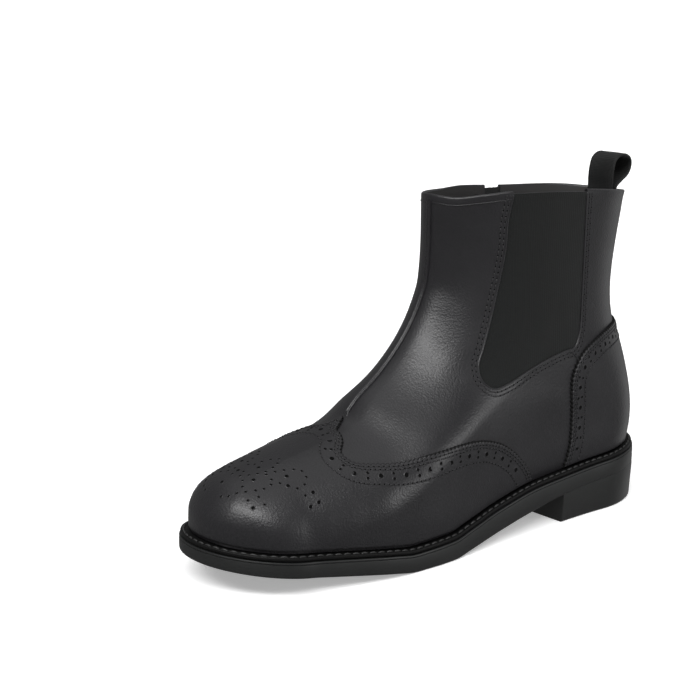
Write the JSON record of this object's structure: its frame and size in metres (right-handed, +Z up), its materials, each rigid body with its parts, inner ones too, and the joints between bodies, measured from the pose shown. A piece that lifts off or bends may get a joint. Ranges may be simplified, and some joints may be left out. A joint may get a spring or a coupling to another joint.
{
  "type": "brogue boot",
  "caption": "Black leather ankle boot for the left foot, with winged toe cap, heel counter, elastic gusset, inner zip, pull loop, welt and low heel.",
  "frame": {"origin": "on the floor, under the middle of the sole's outline", "axes": "+X towards the toe, +Y towards the wearer's left, which is the outer side of this left boot, +Z up"},
  "size_m": [0.27, 0.0906, 0.1777],
  "materials": {
    "upper_leather": "smooth black leather with a soft satin gloss",
    "welt_leather": "satin black welt with thick stitches",
    "sole_rubber": "satin black rubber",
    "lining": "matt dark lining",
    "gusset_elastic": "matt ribbed elastic",
    "zip_tape": "matt woven tape",
    "zip_teeth": "dark moulded teeth",
    "zip_metal": "bright nickel finish",
    "loop_webbing": "matt woven webbing"
  },
  "bodies": {
    "boot": {"outsole": "sole_rubber", "heel": "sole_rubber", "welt": "welt_leather", "insole": "lining", "upper": "upper_leather", "wing_cap": "upper_leather", "heel_counter": "upper_leather", "gusset": "gusset_elastic", "front_seam": "upper_leather", "back_stay": "upper_leather", "zip_tape": "zip_tape", "zip_chain": "zip_teeth", "zip_slider": "zip_metal", "pull_loop": "loop_webbing"},
    "pull": {"zip_pull": "zip_metal"}
  },
  "joints": [
    {"name": "zip_pull_hinge", "type": "hinge", "parent": "boot", "child": "pull", "pos_m": [-0.06922, -0.03477, 0.15105], "axis": [-1, 0, 0], "range_deg": [0, 165]}
  ]
}
